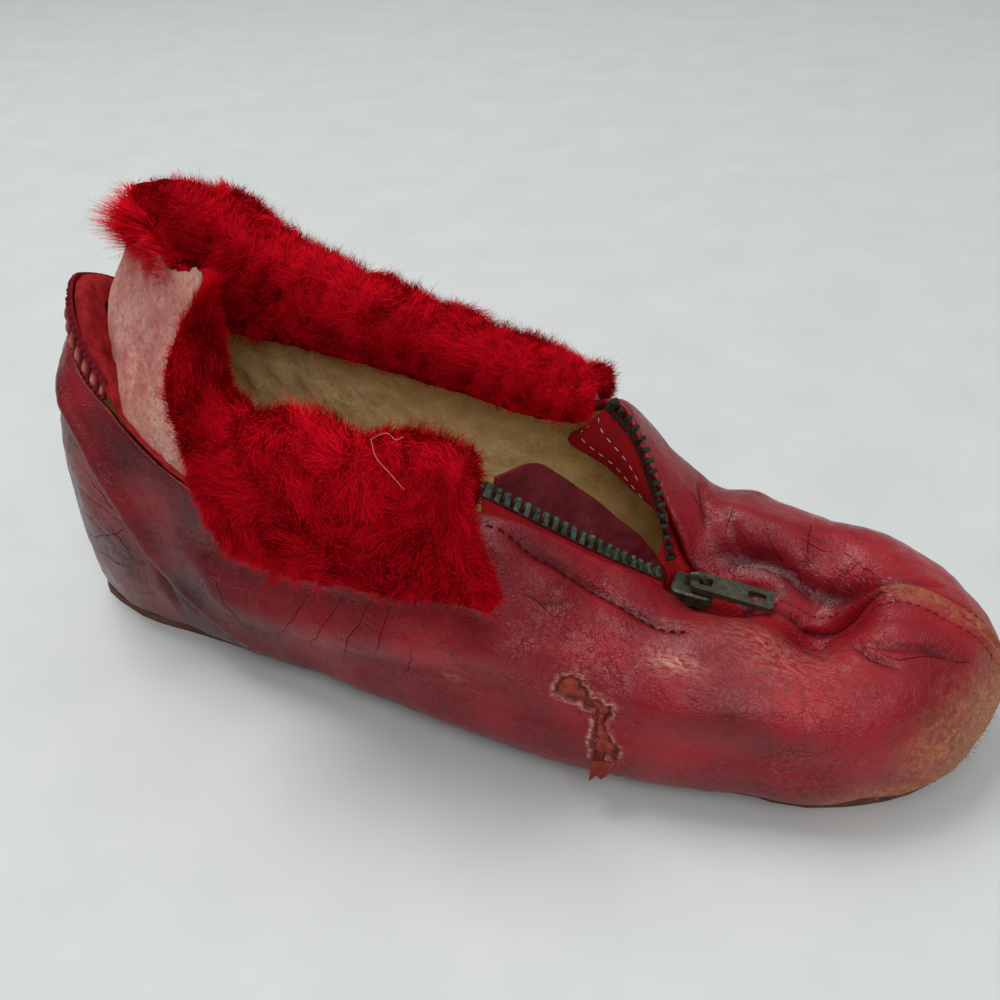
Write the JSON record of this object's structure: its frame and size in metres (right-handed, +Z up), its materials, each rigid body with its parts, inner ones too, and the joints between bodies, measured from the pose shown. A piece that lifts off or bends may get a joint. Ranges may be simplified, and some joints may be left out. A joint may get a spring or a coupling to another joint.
{
  "type": "bootie slipper",
  "caption": "Soft leather bootie slipper for the right foot with a turned-out sheepskin cuff, an open front zip with a hinged pull tab, a thin flat sole and a hollow inside for the foot.",
  "frame": {"origin": "On the underside of the sole, on the centre line, at the back of the flat forefoot tread, where the sole stands on the floor.", "axes": "+X from heel to toe (longest extent), +Y to the medial (big toe) side, +Z up from the floor."},
  "size_m": [0.2529, 0.1014, 0.1163],
  "materials": {
    "leather": "soft burgundy leather, fine grain, worn at the toe",
    "sole": "thin brown sole leather, scuffed",
    "pile_sock": "tan pile",
    "binding": "overcast red leather edge",
    "skin": "pink suede skin side",
    "wool": "dyed red sheep's wool",
    "tape": "red woven tape",
    "old_metal": "oxidised brass with verdigris"
  },
  "bodies": {
    "shoe": {"outsole": "sole", "insole": "pile_sock", "upper": "leather", "collar_binding": "binding", "cuff_skin": "skin", "cuff_fur": "wool", "zip_guard": "leather", "zip_tape_near": "tape", "zip_tape_far": "tape", "zip_teeth_near": "old_metal", "zip_teeth_far": "old_metal", "zip_slider": "old_metal"},
    "pull_tab": {"zip_pull_tab": "old_metal"}
  },
  "joints": [
    {"name": "pull_tab_hinge", "type": "hinge", "parent": "shoe", "child": "pull_tab", "pos_m": [0.05487, 0.00397, 0.03509], "axis": [0.0801, -0.9968, 0], "range_deg": [0, 115]}
  ]
}
